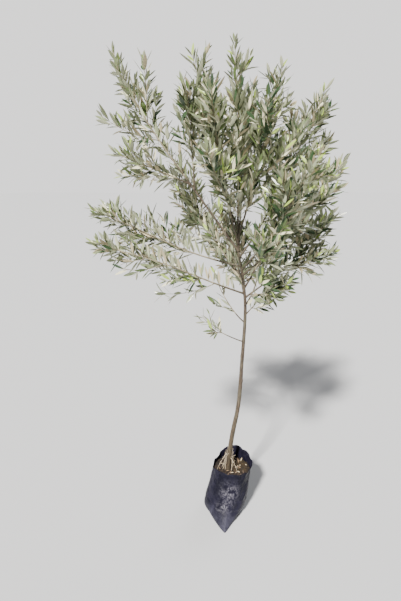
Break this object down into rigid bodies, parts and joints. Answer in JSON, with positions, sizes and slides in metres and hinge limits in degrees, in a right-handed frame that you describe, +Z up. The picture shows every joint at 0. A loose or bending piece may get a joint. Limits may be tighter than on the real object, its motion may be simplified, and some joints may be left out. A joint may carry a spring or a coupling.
{
  "type": "potted olive tree",
  "caption": "Young olive tree with one slender leaning trunk, open upswept boughs and narrow leaves, in a soft nursery grow bag full of soil.",
  "frame": {"origin": "middle of the grow bag's flat underside, on the ground", "axes": "+Z straight up, away from the underside, +X to the picture's right, -Y towards the picture's camera; the bag's two folded ears point along -Y and +Y"},
  "size_m": [1.0493, 0.8244, 2.0706],
  "materials": {
    "film": "satin",
    "soil": "matte",
    "bark": "matte",
    "foliage": "matte"
  },
  "bodies": {
    "root": {"bag": "film", "soil": "soil", "trunk": "bark", "bough_left_high": "bark", "bough_left_up": "bark", "bough_left_level": "bark", "bough_left_upper": "bark", "bough_left_lower": "bark", "bough_left_twig": "bark", "bough_left_foot": "bark", "bough_right_sprig": "bark", "bough_right_lower": "bark", "bough_right_mid": "bark", "bough_right_high": "bark", "bough_right_up": "bark", "bough_front_lower": "bark", "bough_front_left": "bark", "bough_front_right": "bark", "bough_front_high": "bark", "bough_back_lower": "bark", "bough_back_right": "bark", "bough_back_left": "bark", "bough_back_high": "bark", "bough_back_left_high": "bark", "leaves_leader": "foliage", "leaves_left_high": "foliage", "leaves_left_up": "foliage", "leaves_left_level": "foliage", "leaves_left_upper": "foliage", "leaves_left_lower": "foliage", "leaves_left_twig": "foliage", "leaves_left_foot": "foliage", "leaves_right_sprig": "foliage", "leaves_right_lower": "foliage", "leaves_right_mid": "foliage", "leaves_right_high": "foliage", "leaves_right_up": "foliage", "leaves_front_lower": "foliage", "leaves_front_left": "foliage", "leaves_front_right": "foliage", "leaves_front_high": "foliage", "leaves_back_lower": "foliage", "leaves_back_right": "foliage", "leaves_back_left": "foliage", "leaves_back_high": "foliage", "leaves_back_left_high": "foliage"}
  },
  "joints": []
}
